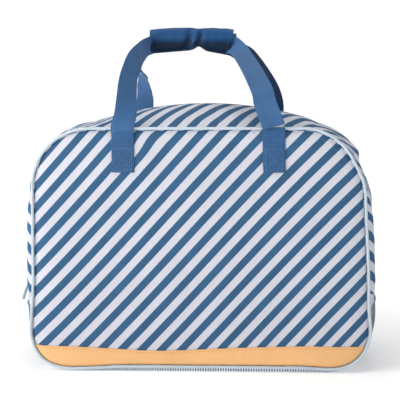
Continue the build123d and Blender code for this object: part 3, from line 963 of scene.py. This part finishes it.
ANCHORS = (-0.1012, 0.1030)
STRAPS = {
    # Middle line (x, y, z) and how squarely the strap faces the front there: 1 is flat, 0 is edge-on.
    ("front", "left"): [
        (-0.1016, -0.1158, 0.3215, 1.0), (-0.1013, -0.1172, 0.3300, 1.0),
        (-0.0972, -0.1165, 0.3450, 0.97), (-0.0964, -0.1080, 0.3678, 0.84),
        (-0.0962, -0.0990, 0.3843, 0.78), (-0.0948, -0.0860, 0.4013, 0.70),
        (-0.0905, -0.0680, 0.4189, 0.72), (-0.0852, -0.0420, 0.4330, 0.58),
        (-0.0790, -0.0180, 0.4436, 0.62), (-0.0705, -0.0042, 0.4498, 0.84),
        (-0.0600, -0.0022, 0.4535, 1.0),
    ],
    ("front", "right"): [
        (0.0990, -0.1200, 0.3290, 1.0), (0.0972, -0.1196, 0.3355, 1.0),
        (0.0925, -0.1168, 0.3474, 1.0), (0.0878, -0.1100, 0.3608, 1.0),
        (0.0847, -0.1000, 0.3758, 0.98), (0.0765, -0.0800, 0.3958, 0.94),
        (0.0693, -0.0600, 0.4109, 0.90), (0.0613, -0.0380, 0.4259, 0.88),
        (0.0530, -0.0170, 0.4388, 0.93), (0.0430, -0.0034, 0.4478, 1.0),
        (0.0320, -0.0022, 0.4525, 1.0),
    ],
    ("rear", "left"): [
        (-0.1020, 0.1182, 0.3262, 1.0), (-0.0960, 0.1165, 0.3450, 1.0),
        (-0.0920, 0.1090, 0.3740, 0.92), (-0.0918, 0.1030, 0.3880, 0.82),
        (-0.0921, 0.0980, 0.3967, 0.76), (-0.0918, 0.0925, 0.4056, 0.62),
        (-0.0930, 0.0830, 0.4140, 0.36), (-0.0968, 0.0690, 0.4212, 0.24),
        (-0.0985, 0.0520, 0.4295, 0.35), (-0.0905, 0.0320, 0.4380, 0.55),
        (-0.0815, 0.0130, 0.4450, 0.62), (-0.0705, 0.0042, 0.4498, 0.84),
        (-0.0600, 0.0022, 0.4535, 1.0),
    ],
    ("rear", "right"): [
        (0.0980, 0.1182, 0.3262, 1.0), (0.1045, 0.1165, 0.3443, 1.0),
        (0.1085, 0.1040, 0.3640, 0.98), (0.1020, 0.0830, 0.3880, 0.92),
        (0.0860, 0.0550, 0.4130, 0.85), (0.0670, 0.0280, 0.4350, 0.80),
        (0.0515, 0.0110, 0.4425, 0.80), (0.0400, 0.0040, 0.4478, 0.92),
        (0.0320, 0.0022, 0.4525, 1.0),
    ],
}


def strap(side, word, hand):
    """Free length of a handle, from the sewn end to inside the wrap."""
    line, run = curve_through(STRAPS[side, word], 120)
    middle, square = line[:, :3], np.clip(line[:, 3:], 0, 1)
    ahead = unit(np.gradient(middle, axis=0))
    level = unit(np.stack([ahead[:, 2], np.zeros(len(run)), -ahead[:, 0]], -1))
    deep = np.cross(ahead, level)
    way = square * level - hand * np.sqrt(1 - square ** 2) * deep
    narrow = 1 - 0.08 * smooth(run, run[-1] * 0.6, run[-1])
    stock = Stock()
    # One face of each right strap takes the darker webbing copy as painted shade.
    shaded_side = hand * (word == "right")
    webbing_band(stock, middle, way, run, WEB_HALF * narrow, WEB_THICK, 0.0008, shaded_side)
    name = "handle_strap_%s_%s" % (side, word)
    span(stock, name, [WEBBING, WEBBING_PAINTED_SHADE], "webbing", "handle", STRAP_STILL, STRAP_HELD, name)


def lower_half(x):
    """Depth of the wrap below its middle line: it droops to the right, and is drawn up at the pinch."""
    left = 0.0120 + 0.0052 * np.clip((PINCH - x) / 0.069, 0, 1)
    right = 0.0122 + 0.0086 * np.clip((x - PINCH) / 0.047, 0, 1)
    return np.where(x < PINCH, left, right) - 0.0046 * np.exp(-((x - PINCH) / 0.0070) ** 2)


def pinched(points):
    """Fits the lower half of the grip's pieces to the wrap's lower edge."""
    p = np.array(points, float)
    below = np.minimum(p[..., 2] - GRIP_MIDDLE, 0)
    p[..., 2] += below * (lower_half(p[..., 0]) / GRIP_DEPTH - 1)
    return p


def grip_end(z, sign):
    """The wrap's ends: the left one upright, the right one slanting."""
    if sign < 0:
        return -0.0745 + 0 * z
    return 0.0435 + 0.16 * (z - GRIP_MIDDLE)


def grip_wrap():
    turn = np.linspace(0, 2 * math.pi, 72, endpoint=False)
    share = np.concatenate([[0, 0, 0], np.linspace(0, 1, 90), [1, 1, 1]])
    shrink = np.concatenate([[0.42, 0.62, 0.86], np.ones(90), [0.86, 0.62, 0.42]])
    inward = np.concatenate([[0.0006, 0.0002, 0.0], np.zeros(90), [0.0, -0.0002, -0.0006]])
    high = rounded(np.sin(turn), 0.75)
    wide = rounded(np.cos(turn), np.where(np.cos(turn) < 0, 1.15, 0.8))
    rows = []
    for s, k, push in zip(share, shrink, inward):
        up = 0.0166 + 0.0032 * math.sin(math.pi * s) ** 0.6
        z = GRIP_MIDDLE + high * np.where(high > 0, up, GRIP_DEPTH) * (0.55 + 0.45 * k)
        x = grip_end(z, -1) * (1 - s) + grip_end(z, 1) * s + push
        front = 0.0080 + 0.0020 * math.sin(math.pi * s)
        half = np.where(wide < 0, front, 0.0062) * k
        rows.append(np.stack([x, wide * half, z], -1))
    rings = np.array(rows)
    x, z = rings[..., 0], rings[..., 2]
    facing = smooth(-rings[..., 1], 0.0, 0.005)
    ridge = -0.0055 - 0.30 * (0.472 - z)
    fold = (1.9 * np.exp(-((x - ridge) / 0.0030) ** 2) - 3.2 * np.exp(-((x - ridge - 0.0080) / 0.0042) ** 2)
            - 3.2 * np.exp(-((x - ridge + 0.0085) / 0.0048) ** 2)) * 0.001
    creases = 0.0007 * wobble(rings * np.array([1, 1, 0.45]), 0.010, 6.0)
    rings[..., 1] -= facing * (fold + creases)
    top = smooth(z, GRIP_MIDDLE + 0.010, GRIP_MIDDLE + 0.018)
    rings[..., 2] += top * (0.0006 * wobble(rings, 0.012, 2.0) - 0.0016 * np.exp(-((x - ridge) / 0.008) ** 2))
    rings = pinched(rings)
    thread = np.stack(np.broadcast_arrays(rings[..., 0], turn * 0.012), -1)
    # Painted shade for the stripe map: the wrap's lower half and the hollows on both sides of its crease are
    # darkened, and the crease's ridge is left light as a painted highlight.
    below = GRIP_MIDDLE + 0.001 - rings[..., 2]
    crease_shade = np.exp(-((x - ridge - 0.0065) / 0.0034) ** 2) + np.exp(-((x - ridge + 0.0080) / 0.0042) ** 2)
    painted_shade_share = smooth(below, -0.004, 0.006) + 0.75 * crease_shade * smooth(below, -0.014, -0.004)
    painted_shade_share = np.clip(painted_shade_share - 0.8 * np.exp(-((x - ridge) / 0.0022) ** 2), 0, 1)
    painted_shade_map = np.stack([painted_shade_share, 0 * x], -1)
    stock = Stock()
    stock.add(rings, ring_faces(*rings.shape[:2]), 0, painted_shade_map, thread)
    for row in (6, -8):
        centre = rings[row].mean(0)
        loop = centre + (rings[row] - centre) * 1.012
        stitches(stock, np.concatenate([loop, loop[:1]]), 0.0022, 0.0010, 0.00026, slot=1)
    settle(stock, "grip_wrap", [GRIP, GRIP_THREAD], "handle", sharp=60)


def grip_strip(name, body, low, high, near, far, material, slot_name, round_off=0.0):
    """Thin strip on the back of the grip between two corners of the x-z plane."""
    (x0, z0), (x1, z1) = low, high
    across = np.linspace(0, 1, 13)
    along = np.linspace(0, 1, 60)
    x = x0 + (x1 - x0) * along[:, None] + 0 * across
    z = z0 + (z1 - z0) * across[None, :] + 0 * along[:, None]
    nip = round_off * (1 - np.sqrt(np.clip(1 - (np.abs(2 * along - 1) ** 14), 0, 1)))[:, None]
    z = z + nip * (0.5 - across[None, :]) * 2
    grid = pinched(np.stack([x, np.full_like(x, far) - 0.0003 * np.abs(2 * across - 1) ** 4, z], -1))
    stock = Stock()
    shell(stock, grid, far - near, (0, -1, GRIP_MIDDLE), None, np.stack([x, z], -1))
    settle(stock, name, [material], body)


def grip_webbing(side, hand):
    """Part of a handle inside the wrap."""
    x = np.linspace(-0.0700, 0.0500, 60)
    flat = np.stack([x, np.full_like(x, hand * 0.0016), np.full_like(x, GRIP_MIDDLE)], -1)
    slack = (lower_half(x) - 0.0145) / 2
    flat[:, 2] -= 0.0005 + slack
    stock = Stock()
    half = np.clip(0.0135 + slack, 0.008, 0.0145)
    webbing_band(stock, flat, np.tile([0, 0, 1.0], (60, 1)), x, half, 0.0017)
    settle(stock, "grip_webbing_" + side, [WEBBING], "handle")


def pull_tab():
    """Moulded pull: a looped cord from the slider's pin into a grip with a long eye."""
    low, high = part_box("zip_pull")
    pin = Vector((high.x - 0.0009, 0, high.z - 0.0009))
    foot = Vector((low.x + 0.0010, 0, low.z + 0.0004))
    way = (foot - pin).normalized()
    out = Vector((way.z, 0, -way.x))
    length = (foot - pin).length
    stock = Stock()
    for side in (-1, 1):
        t = np.linspace(0, 1, 30)
        spread = side * (0.0026 + 0.0012 * np.sin(math.pi * np.clip(t * 1.1, 0, 1)) * t)
        path = np.array([pin + way * (length * 0.62 * k) + Vector((0, w, 0)) for k, w in zip(t, spread)])
        tube(stock, path, 0.00095, around=8)
    tube(stock, [pin + Vector((0, y, 0)) for y in np.linspace(-0.0033, 0.0033, 5)], 0.0009, around=10)
    turn = np.linspace(0, 2 * math.pi, 48, endpoint=False)
    rings = []
    for share in np.linspace(0, 1, 9):
        lift = math.sin(math.pi * share)
        reach = 1 - 0.14 * (1 - lift)
        ring = []
        for angle in turn:
            along = 0.79 + 0.21 * rounded(math.cos(angle), 0.6) * reach
            wide = 0.0045 * rounded(math.sin(angle), 0.6) * reach
            ring.append(pin + way * (length * along) + Vector((0, wide, 0)) + out * (0.0038 * (share - 0.5)))
        rings.append(ring)
    stock.add(rings, ring_faces(len(rings), len(turn)))
    crest = pin + way * (length * 0.90) + out * 0.0019
    tube(stock, [crest + Vector((0, y, 0)) for y in np.linspace(-0.003, 0.003, 5)], 0.0004, around=6)
    settle(stock, "zip_pull_tab", [PULL], "pull", "zip_pull")


# ---- view, floor and light ----


LENS, SENSOR = 85, 36    # millimetres
VIEW_FROM = (0.05, -1.3677, 0.305)
VIEW_DOWN, VIEW_LEFT = 3.32, 2.2     # degrees
KEY_POWER, TOP_POWER, SKY = 21, 12, 0.38
ROOM = 14.0              # half of the size of the white room


def place_camera():
    data = bpy.data.cameras.new("camera")
    data.lens, data.sensor_width = LENS, SENSOR
    camera = new_object("camera", data)
    camera.location = VIEW_FROM
    camera.rotation_euler = (math.radians(90 - VIEW_DOWN), 0, math.radians(VIEW_LEFT))
    bpy.context.scene.camera = camera


def area_light(name, place, target, size, power):
    data = bpy.data.lights.new(name, "AREA")
    data.shape, data.size, data.energy = "DISK", size, power
    lamp = new_object(name, data)
    lamp.location = place
    lamp.rotation_euler = (Vector(target) - Vector(place)).to_track_quat("-Z", "Y").to_euler()


def backdrop():
    """Glowing white room far around the bag, which only the camera sees."""
    corners = [(x, y, z) for x in (-ROOM, ROOM) for y in (-ROOM, ROOM) for z in (-ROOM, ROOM)]
    walls = [(0, 1, 3, 2), (4, 6, 7, 5), (0, 4, 5, 1), (2, 3, 7, 6), (0, 2, 6, 4), (1, 5, 7, 3)]
    mesh = bpy.data.meshes.new("backdrop")
    mesh.from_pydata(corners, [], walls)
    material = bpy.data.materials.new("backdrop_light")
    material.use_nodes = True
    shader = material.node_tree.nodes["Principled BSDF"]
    shader.inputs["Base Color"].default_value = (0, 0, 0, 1)
    shader.inputs["Emission Color"].default_value = (1, 1, 1, 1)
    shader.inputs["Emission Strength"].default_value = 1.0
    mesh.materials.append(material)
    room = new_object("backdrop", mesh)
    room.visible_diffuse = room.visible_glossy = room.visible_transmission = room.visible_shadow = False
    room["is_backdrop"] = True


def studio():
    world = bpy.data.worlds.new("studio")
    world.use_nodes = True
    background = world.node_tree.nodes["Background"]
    background.inputs["Color"].default_value = (1.0, 1.0, 1.0, 1)
    background.inputs["Strength"].default_value = SKY
    bpy.context.scene.world = world
    bpy.context.scene.view_settings.view_transform = "Standard"
    area_light("key", (-1.4, -1.0, 0.85), (0, 0, 0.2), 1.5, KEY_POWER)
    area_light("top", (0, -0.1, 1.9), (0, 0, 0), 1.6, TOP_POWER)
    backdrop()
    mesh = bpy.data.meshes.new("floor")
    corners = [(-ROOM, -ROOM, 0), (ROOM, -ROOM, 0), (ROOM, ROOM, 0), (-ROOM, ROOM, 0)]
    mesh.from_pydata(corners, [], [(0, 1, 2, 3)])
    r = Recipe("floor_painted_glow", 0.6, specular=0.2)
    place = r.tree.nodes.new("ShaderNodeTexCoord")
    reach = r.tree.nodes.new("ShaderNodeVectorMath")
    reach.operation = "LENGTH"
    r.link(place.outputs["Object"], reach.inputs[0])
    # The floor glows, more strongly away from the bag: painted light that evens out its shading and lightens
    # the bag's shadow on it.
    r.shader.inputs["Emission Color"].default_value = (1, 1, 1, 1)
    r.put(r.shader.inputs["Emission Strength"], r.ramp(reach.outputs["Value"], 0.2, 1.2, 0.27, 0.8))
    mesh.materials.append(r.done(r.shade(linear(250, 250, 250), 0.5, 0.005)))
    new_object("floor", mesh)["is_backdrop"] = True


def dress(node, material):
    """Gives a carried-over solid its finish."""
    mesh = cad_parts[node].data
    mesh.materials.clear()
    mesh.materials.append(material)


place_camera()
studio()
for side, hand in (("front", -1), ("rear", 1)):
    panel_layer(side + "_panel", hand, FRONT_FACE, FABRIC, 0.0, STRIPED)
    panel_layer(side + "_foam", hand, HALF_DEPTH, 2 * FABRIC, PANEL_INSET, FOAM)
    panel_layer(side + "_lining", hand, LINING_FACE, THIN, PANEL_INSET, LINING)
    base_band(side + "_base_band", hand)
    piping(side + "_piping", hand)
    gusset(side, hand)
    for word, x in (("left", ANCHORS[0]), ("right", ANCHORS[1])):
        anchor(side, word, hand, x)
        strap(side, word, hand)
    grip_webbing(side, hand)
base()
mesh_pocket("right", 1)
mesh_pocket("left", -1)
box_stitching()
grip_wrap()
CLOSURE_SPOT = (-0.060, 0.446), (0.037, 0.464)
grip_strip("grip_loop_strip", "handle", *CLOSURE_SPOT, 0.0065, 0.0073, CLOSURE, "closure")
grip_strip("grip_hook_strip", "wrap_flap", *CLOSURE_SPOT, 0.0076, 0.0084, CLOSURE, "closure")
grip_strip("grip_flap", "wrap_flap", (-0.066, 0.440), (0.040, 0.466), 0.0084, 0.0098, GRIP, "wrap", 0.004)
pull_tab()
for node in ("zip_slider", "zip_stop_left", "zip_stop_right"):
    dress(node, PULL)
dress("base_board", BOARD)

low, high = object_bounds()
{"cad": [list(cad_low), list(cad_high)], "visual": [list(low), list(high)]}
